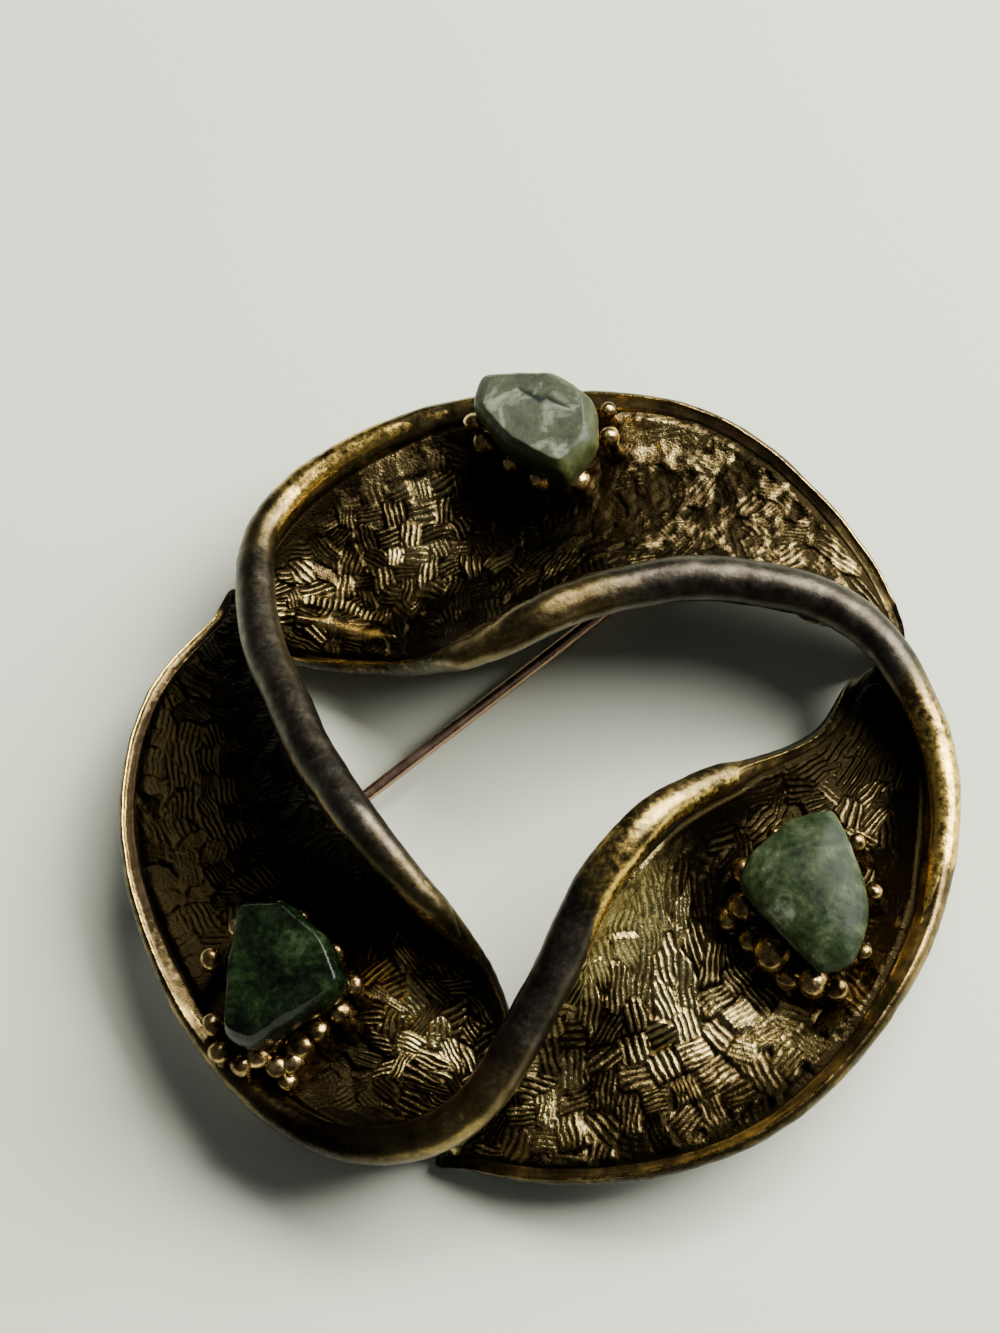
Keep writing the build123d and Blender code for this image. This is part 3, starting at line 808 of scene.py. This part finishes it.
def lay_bundles(lobe):
    """Bundles of ridges on a lobe, each turned across its neighbours and more or less askew."""
    rng = np.random.default_rng(BUNDLE_SEED + lobe)
    size = BUNDLE_PITCH[lobe]
    station, share, parity = bundle_rows(lobe, rng)
    count = len(station)
    sheet, ahead = Sheet(station, share[:, None]), Sheet(station + 0.002, share[:, None])
    normal = sheet.normal[:, 0] * FRONTS[lobe]
    centre = sheet.middle[:, 0] + normal * SHEET_THICKNESS / 2
    run = unit(ahead.middle[:, 0] - sheet.middle[:, 0])
    run = unit(run - normal * (run * normal).sum(-1, keepdims=True))
    side = np.cross(normal, run)
    loose = 1.0 + spread(centre, SKIN_WEAR) + roughness(centre, LOOSE_ROUGH, lobe)
    loose = np.clip(loose, 0.35, 1.7)
    askew = roughness(centre, ASKEW_ROUGH, lobe) + rng.normal(0, radians(20), count)
    turn = parity * pi / 2 + askew * loose
    half_length = size * (0.52 + rng.uniform(-0.06, 0.30, count) * loose)
    half_width = size * (0.48 + rng.uniform(-0.14, 0.08, count) * loose)
    part = (station - lobe / 2) * 2
    for at_lobe, start, end, near, far, way, length in STROKES:
        if at_lobe == lobe:
            here = (part >= start) & (part <= end) & (share >= near) & (share <= far)
            turn[here] = radians(way) + rng.normal(0, radians(10), here.sum())
            half_length[here] = length / 2 * rng.uniform(0.7, 1.3, here.sum())
    centre = centre + (run * rng.normal(0, 0.2, (count, 1))
                       + side * rng.normal(0, 0.2, (count, 1))) * loose[:, None]
    along = run * np.cos(turn)[:, None] + side * np.sin(turn)[:, None]
    pitch = 2 * half_width / rng.integers(4, 6, count)
    depth = CARVED[lobe] - 0.55 * loose + rng.normal(0, 0.12, count)
    phase = rng.uniform(-0.15, 0.15, count)
    lean = rng.normal(0, 0.11, (count, 3))
    shine = rng.uniform(0, 1, count)
    return Bundles(centre, normal, along, np.cross(normal, along), half_length, half_width,
                   pitch, phase, lean, shine, np.clip(depth, 0.15, 1.3))


def carve(points, bundles):
    """The weave at points: its height, how near a ridge's top it is, and its shine."""
    height, top, shine = np.empty((3, *points.shape[:-1]))
    bend = roughness(points, BEND_ROUGH)
    columns = np.arange(points.shape[1])
    for here in range(len(points)):
        away = points[here, :, None] - bundles.centre
        along = np.einsum("pbx,bx->pb", away, bundles.along) / bundles.half_length
        across = np.einsum("pbx,bx->pb", away, bundles.across) / bundles.half_width
        reach = np.maximum(np.abs(along), np.abs(across)) + 0.02 * np.linalg.norm(away, axis=-1)
        nearest = np.argpartition(reach, 1, axis=1)[:, :2]
        reaches = np.take_along_axis(reach, nearest, 1)
        pick = nearest[columns, np.argmin(reaches, axis=1)]
        a, b = along[columns, pick], across[columns, pick]
        lean, depth = bundles.lean[pick], bundles.depth[pick]
        gap = 1 - depth * 0.75 * (1 - smooth(np.abs(reaches[:, 0] - reaches[:, 1]) / 0.15))
        ridge = (b * bundles.half_width[pick] + bend[here]) / bundles.pitch[pick]
        wave = 0.5 + 0.5 * np.cos(2 * pi * (ridge + 0.5 + bundles.phase[pick]))
        crown = 1 - 0.5 * np.clip(np.abs(a), 0, 1.3) ** 3
        plane = lean[:, 0] * a + lean[:, 1] * b + lean[:, 2] * 0.6
        carved = (RIDGE_HEIGHT * wave * crown + 0.05) * depth
        height[here] = gap * (carved + plane * np.minimum(depth, 1))
        top[here] = wave * gap * crown * depth + 0.22 * (1 - depth)
        shine[here] = bundles.shine[pick]
    return height, top, shine


def make_skin(lobe, name):
    """The woven front of a lobe, from the groove along one roll to the other's."""
    start, end = skin_range(lobe)
    at = np.linspace(start, end, SKIN_STATIONS)
    first, last, length = skin_edges(at)
    across = first + (last - first) * np.linspace(0, 1, SKIN_ACROSS)
    sheet = Sheet(at, across)
    normal = sheet.normal * FRONTS[lobe]
    front = sheet.middle + normal * SHEET_THICKNESS / 2
    height, top, shine = carve(front, lay_bundles(lobe))
    grit = np.clip(spread(front, SKIN_WEAR), 0, 1) * roughness(front, GRIT_ROUGH, lobe)
    height = height + roughness(front, SKIN_ROUGH, lobe) + 0.045 * grit
    top = top + 0.30 * grit
    from_roll = np.minimum(across - first, last - across) * length
    from_end = np.minimum(at - start, end - at)[:, None] / SKIN_FADE
    edge = smooth(from_roll / 0.35) * smooth(from_end)
    by_rim = np.where(across < 0.5, thin_rim(sheet.near_bead), thin_rim(sheet.far_bead))
    plain = (1 - by_rim) * (1 - smooth((from_roll - 0.9) / 1.5))
    height = height * (1 - 0.8 * plain) + 0.16 * plain
    top = top * (1 - plain) + 0.3 * plain
    if lobe == FOLD_LOBE:
        height, top = folded(front[..., :2], height, top)
    lift = height * edge - 0.38 * (1 - edge) - 0.04
    lift = lift - 0.20 * by_rim * (1 - smooth(from_roll / 2.2)) * edge
    # The shade value: patina, plus painted shade on the left lobe and by the stones, less painted
    # glints
    patina_and_shade = LOBE_PATINA_AND_SHADE[lobe] + spread(front, SKIN_PATINA_SHADOWS_AND_GLINTS) + roughness(front, PATINA_ROUGH, lobe)
    values = {"top": top * edge, "bundle": shine, "shade": np.clip(patina_and_shade, -0.4, 1.3)}
    mesh_piece(name, front + normal * lift[..., None],
               grid_quads(*across.shape, flip=FRONTS[lobe] < 0), SKIN, values)


make_band()
make_ridges()
for lobe, name in enumerate(("weave_top", "weave_left", "weave_right")):
    make_skin(lobe, name)

# The stones and their settings. A stone's corners and beads are placed by shares of its length from
# its middle. After a bead's place come how far it lies below the stone's table, and its size.

STONE_LENGTH = 9.6
STONE_THICKNESS = 3.3
STONE_TABLE_HEIGHT = 10.5
BED_DROP = 0.06
Stone = namedtuple("Stone", "node lobe reach bearing lean_way lean table dome corners beads")
STONES = [
    Stone("stone_top", 0, 0.87, 89.6, 90.0, 5.0, 0.82, 0.0, [
        (-0.39, 0.33), (0.09, 0.32), (0.36, 0.11), (0.38, -0.19), (0.19, -0.46), (-0.19, -0.22),
        (-0.44, 0.09)], [
        (-0.44, 0.10, 2.9, 1.3), (-0.38, 0.00, 3.5, 1.5), (-0.22, -0.13, 4.1, 1.1),
        (-0.03, -0.25, 4.0, 1.4), (0.21, -0.26, 4.1, 1.3), (0.40, 0.00, 3.5, 1.2),
        (0.38, 0.20, 3.7, 1.0), (0.10, 0.32, 3.9, 1.1), (-0.15, 0.33, 3.9, 1.1),
        (-0.38, 0.30, 3.8, 1.1)]),
    Stone("stone_left", 1, 0.73, 221.0, 200.0, 4.0, 0.88, 0.1, [
        (-0.33, -0.38), (-0.32, 0.10), (-0.27, 0.44), (0.03, 0.45), (0.31, 0.19), (0.45, -0.10),
        (0.26, -0.23), (-0.15, -0.48)], [
        (-0.48, 0.15, 3.0, 1.3), (-0.08, 0.46, 3.4, 1.0), (0.05, 0.39, 3.4, 1.1),
        (0.27, 0.18, 3.6, 1.1), (0.38, -0.01, 3.8, 1.2), (0.30, -0.18, 3.8, 1.4),
        (0.17, -0.29, 3.6, 1.5), (0.07, -0.38, 3.6, 1.7), (0.03, -0.48, 3.9, 1.4),
        (-0.07, -0.50, 3.9, 1.5), (-0.18, -0.43, 3.4, 1.6), (-0.28, -0.49, 3.5, 1.4),
        (-0.41, -0.41, 3.3, 1.4), (-0.47, -0.24, 3.4, 1.4), (-0.10, -0.36, 3.3, 1.5),
        (-0.02, -0.57, 4.4, 1.2), (-0.36, 0.36, 3.6, 1.0)]),
    Stone("stone_right", 2, 0.72, 334.6, 330.0, 6.0, 0.72, 0.45, [
        (-0.41, 0.02), (-0.37, 0.18), (-0.12, 0.43), (0.15, 0.49), (0.29, 0.19), (0.37, -0.14),
        (0.27, -0.46), (0.07, -0.52), (-0.25, -0.19)], [
        (-0.38, 0.17, 3.5, 1.6), (-0.39, -0.04, 3.7, 1.9), (-0.47, -0.10, 4.6, 1.5),
        (-0.22, -0.32, 3.6, 2.2), (0.03, -0.50, 3.6, 1.9), (0.17, -0.54, 3.8, 1.4),
        (0.32, -0.32, 3.8, 1.0), (0.38, 0.03, 3.1, 1.1), (0.28, 0.33, 3.2, 1.2),
        (0.07, 0.46, 3.8, 1.0), (-0.20, 0.40, 3.9, 1.0), (-0.12, -0.46, 4.6, 1.5),
        (-0.34, -0.22, 4.8, 1.6)]),
]
CORNER_CUTS = (0.11, 0.20, 0.25)
GRAIN_SQUASH = 0.94
POST_WIDTHS = np.array([1.15, 0.85, 0.68, 0.62, 0.66])
CRACKED = "stone_top"
CRACK = [(-0.13, 0.17), (0.01, 0.085), (0.06, 0.10), (0.21, 0.01)]


def round_outline(corners, count):
    """Corners cut off again and again at a share of each side, then spaced evenly by bearing."""
    line = np.array(corners)
    for cut in CORNER_CUTS:
        ahead = np.roll(line, -1, 0)
        pairs = (line + (ahead - line) * cut, ahead + (line - ahead) * cut)
        line = np.stack(pairs, 1).reshape(-1, 2)
    bearing = np.arctan2(line[:, 1], line[:, 0])
    order = np.argsort(bearing)
    bearing, reach = bearing[order], np.hypot(*line[order].T)
    turns = 2 * pi * np.arange(count) / count - pi
    reach = np.interp(turns, bearing, reach, period=2 * pi)
    return np.stack([np.cos(turns) * reach, np.sin(turns) * reach], -1)


class Seat:
    """Where a stone sits: a plane in the middle of its table, leaning a little."""

    def __init__(self, stone):
        self.stone = stone
        reach, bearing = stone.reach * RING_RADIUS, radians(stone.bearing)
        self.top = np.array([reach * cos(bearing), reach * sin(bearing), STONE_TABLE_HEIGHT])
        way, lean = radians(stone.lean_way), radians(stone.lean)
        self.up = np.array([sin(lean) * cos(way), sin(lean) * sin(way), cos(lean)])
        self.right = unit(np.array([1.0, 0, 0]) - self.up * self.up[0])
        self.ahead = np.cross(self.up, self.right)

    def points(self, x, y, below):
        """Points at shares of the stone's length across, and at depths below its table."""
        x, y, below = (np.asarray(values, float)[..., None] for values in (x, y, below))
        return self.top + (self.right * x + self.ahead * y) * STONE_LENGTH - self.up * below


def lobe_wall(lobe, lift=SHEET_THICKNESS / 2):
    """Close points all over a lobe, lifted off its middle towards its front."""
    across = np.repeat(np.linspace(0.02, 0.98, 70)[None], 90, 0)
    sheet = Sheet((lobe + np.linspace(0.1, 0.9, 90)) / 2, across)
    return (sheet.middle + sheet.normal * FRONTS[lobe] * lift).reshape(-1, 3)


def wall_height(wall, point):
    """The height of the wall's point that lies nearest in plan."""
    return wall[np.argmin(np.hypot(wall[:, 0] - point[0], wall[:, 1] - point[1])), 2]


def make_stone(seat, material):
    """A tumbled chip: a table, rounded sides and a narrower belly, all a little uneven."""
    stone, table = seat.stone, seat.stone.table
    # Shares of the outline and of the thickness below the table, from the belly up to the table
    profile = np.array([
        (0.04, 1.00), (0.50, 1.00), (0.76, 0.985), (0.88, 0.91), (0.95, 0.78), (0.985, 0.62),
        (1.00, 0.46), (0.985, 0.28), (0.955, 0.17), ((table + 0.95) / 2, 0.075),
        (table + 0.008, 0.010), (table - 0.012, 0.0), (table / 2, 0.0), (0.04, 0.0)])
    table_edge = 10.5
    run = distances(profile * (3, 1))
    rows = np.interp(np.linspace(0, run[-1], CHIP_ROWS), run, np.arange(len(profile)))
    share, below = (np.interp(rows, np.arange(len(profile)), profile[:, i]) for i in (0, 1))
    below = below + stone.dome / STONE_THICKNESS * np.clip(share / table, 0, 1) ** 2 * (1 - below)
    places = share[:, None, None] * round_outline(stone.corners, CHIP_SIDES)
    points = seat.points(places[..., 0], places[..., 1], below[:, None] * STONE_THICKNESS)
    on_table = smooth((rows - table_edge) / 0.4)[:, None]
    away, _, along = from_line(places * STONE_LENGTH, np.array(CRACK) * STONE_LENGTH)
    crack = np.exp(-(away / (0.06 + 0.16 * np.sin(pi * along))) ** 2) * on_table
    crack = crack * (stone.node == CRACKED)
    uneven = roughness(points, CHIP_ROUGH, stone.lobe)
    push = uneven * (1 - 0.75 * on_table) - 0.10 * crack - CHIP_INSET
    outward = unit(points - seat.points(0, 0, STONE_THICKNESS / 2))
    points = points + outward * push[..., None]
    piece = mesh_piece(stone.node + "_chip", points, tube_faces(CHIP_ROWS, CHIP_SIDES), material,
                       {"table": on_table, "crack": crack}, "green_stone")
    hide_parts(stone.node)


def ball(centre, size, seed, up):
    """A cast grain: a slightly squashed, uneven ball."""
    steps, turns = 13, 20
    tilt = pi * (np.arange(steps)[:, None, None] + 0.15) / (steps - 0.7)
    side = unit(np.cross(up, (0.3, 0.9, 0.1)))
    level = ways_round(turns, side, np.cross(up, side))
    shell = np.sin(tilt) * level - np.cos(tilt) * up * GRAIN_SQUASH
    points = centre + shell * size / 2
    push = wobble(points, size * 1.1, seed) * 0.07 * size
    return points + shell * push[..., None], tube_faces(steps, turns)


def rod(start, end, widths, seed=0, rough=0.0):
    """A tube whose width follows a list from start to end."""
    steps, turns = len(widths), 14
    run = unit(end - start)
    side = unit(np.cross(run, (0.9, 0.3, 0.2)))
    rings = start + (end - start) * np.linspace(0, 1, steps)[:, None, None]
    shell = ways_round(turns, side, np.cross(run, side))
    points = rings + shell * (np.array(widths) / 2)[:, None, None]
    push = wobble(points, 0.8, seed) * rough
    return points + shell * push[..., None], tube_faces(steps, turns)


def make_setting(seat):
    """The bed under a stone, and the grains that hold it, each on a post from the lobe's wall."""
    stone = seat.stone
    wall = lobe_wall(stone.lobe)
    parts = []
    for index, (x, y, below, size) in enumerate(stone.beads):
        centre = seat.points(x, y, below)
        seed = GRAIN_SEED + MOST_GRAINS * stone.lobe + index
        foot = np.array([centre[0], centre[1], wall_height(wall, centre) - 0.3])
        parts.append(ball(centre, size, seed, seat.up))
        parts.append(rod(foot, centre, POST_WIDTHS * size, seed, rough=0.05))
    outline = round_outline(stone.corners, BED_SIDES)
    drops = np.linspace(0, 1, BED_ROWS)[:, None]
    shares = 0.64 + 0.20 * drops ** 2
    bed = seat.points(shares * outline[:, 0], shares * outline[:, 1], STONE_THICKNESS + BED_DROP)
    every = 6
    feet = [wall_height(wall, point) - 0.4 for point in bed[-1, ::every]]
    feet = np.interp(np.arange(BED_SIDES), np.arange(0, BED_SIDES, every), feet, period=BED_SIDES)
    bed[..., 2] += (feet - bed[..., 2]) * drops
    bed = bed[::-1]
    outward = unit((bed - seat.top) * (1, 1, 0))
    bed = bed + outward * roughness(bed, BED_ROUGH, stone.lobe)[..., None]
    parts.append((bed, tube_faces(BED_ROWS, BED_SIDES)))
    mesh_piece(stone.node.replace("stone", "setting"), *joined(parts), BEADS)


for stone in STONES:
    seat = Seat(stone)
    make_stone(seat, stone_material(stone.node))
    make_setting(seat)

# The pin's hinge and catch

RIVET = 0.7
RIVET_OVERRUN = 1.12
RIVET_WIDTHS = [0.9, 1.1, *[RIVET] * 5, 1.1, 0.9]
EYE_WALL = 0.45
EYE_WIDTH = 1.6
HINGE_GAP = 0.1
HINGE_EAR = 0.7
HINGE_EAR_LENGTH = 2.4
PIN_WIRE = 0.8
CATCH_LENGTH = 2.2
CATCH_WALL = 0.6
CATCH_GAP = 0.15
PIN_SIDE = np.cross((0, 0, 1), PIN_ALONG)


def extruded(outline, origin, across, run, length):
    """A flat outline in the plane of across and the vertical, carried a length along run."""
    outline = np.array(outline)[::-1]
    face = origin + outline[:, :1] * across + outline[:, 1:] * np.array((0, 0, 1.0))
    points = np.concatenate([face - run * length / 2, face + run * length / 2])
    return points, tube_faces(2, len(outline))


def make_fittings():
    """Two ears with a rivet through them, and a slotted catch, on the ribbon's back."""
    parts = []
    top_back, left_back = lobe_wall(0, 0), lobe_wall(1, 0)
    ear_centre = EYE_WIDTH / 2 + HINGE_GAP + HINGE_EAR / 2
    low, half = RIVET / 2 + EYE_WALL, HINGE_EAR_LENGTH / 2
    for side in (-1, 1):
        foot = HINGE + PIN_SIDE * side * ear_centre
        rise = wall_height(top_back, foot) - foot[2]
        outline = [(half * cos(turn), low * sin(turn)) for turn in np.radians(np.arange(180, 361, 15))]
        outline += [(half, rise), (-half, rise)]
        parts.append(extruded(outline, foot, PIN_ALONG, PIN_SIDE, HINGE_EAR))
    reach = PIN_SIDE * (ear_centre + HINGE_EAR / 2) * RIVET_OVERRUN
    parts.append(rod(HINGE - reach, HINGE + reach, RIVET_WIDTHS))
    slot = PIN_WIRE / 2 + CATCH_GAP
    half = slot + CATCH_WALL
    rise = wall_height(left_back, CATCH) - CATCH[2]
    arch = [(slot * cos(turn), slot * sin(turn)) for turn in np.radians(np.arange(0, 181, 20))]
    outline = [(-half, -slot), (-half, rise), (half, rise), (half, -slot), (slot, -slot), *arch,
               (-slot, -slot)]
    parts.append(extruded(outline, CATCH, PIN_SIDE, PIN_ALONG, CATCH_LENGTH))
    piece = mesh_piece("fittings", *joined(parts), BAND)
    piece.data.shade_flat()


make_fittings()
pin = frame["nodes"]["pin_stem"]
pin.data.materials.clear()
pin.data.materials.append(WIRE)

# The table, the camera and the light

TABLE_HALF = 0.6
ROOM_COLOUR = (0.80, 0.85, 0.90)
ROOM_LIGHT = 0.10


def make_table():
    """The pale table that the brooch lies on, which is no part of it."""
    mesh = bpy.data.meshes.new("table")
    corners = [(x * TABLE_HALF, y * TABLE_HALF, 0.0) for x in (-1, 0, 1) for y in (-1, 0, 1)]
    mesh.from_pydata(corners, [], [tuple(quad) for quad in grid_quads(3, 3)])
    mesh.materials.append(table_material())
    add_object("table", mesh)


def make_camera():
    """The camera, aimed by its tilt off the vertical, its bearing and its roll."""
    turn = Matrix.Rotation(radians(CAMERA_BEARING), 4, "Z")
    turn = turn @ Matrix.Rotation(radians(CAMERA_TILT), 4, "X")
    turn = turn @ Matrix.Rotation(radians(CAMERA_ROLL), 4, "Z")
    place = to_frame(np.array(CAMERA_AIM) + np.array(turn)[:3, 2] * CAMERA_DISTANCE)
    data = bpy.data.cameras.new("camera")
    data.sensor_fit = "HORIZONTAL"
    data.sensor_width = SENSOR_WIDTH
    data.lens = CAMERA_LENS
    data.clip_start = 0.01
    camera = add_object("camera", data)
    camera.matrix_world = Matrix.Translation(place) @ turn
    bpy.context.scene.camera = camera


def make_light(name, place, size, power, colour):
    """A soft square light that faces the brooch."""
    data = bpy.data.lights.new(name, "AREA")
    data.shape = "SQUARE"
    data.size = size
    data.energy = power
    data.color = colour
    light = add_object(name, data)
    light.location = place
    light.rotation_euler = Vector(place).to_track_quat("Z", "Y").to_euler()


def make_world():
    """Faint light from all round."""
    world = bpy.data.worlds.new("room")
    world.use_nodes = True
    background = world.node_tree.nodes["Background"]
    background.inputs["Color"].default_value = (*ROOM_COLOUR, 1)
    background.inputs["Strength"].default_value = ROOM_LIGHT
    bpy.context.scene.world = world


make_table()
make_camera()
make_light("window", (0.34, 0.16, 0.27), 0.34, 8.2, (1.0, 0.99, 0.95))
make_light("lamp", (0.12, 0.24, 0.34), 0.16, 1.4, (1.0, 0.97, 0.90))
make_world()
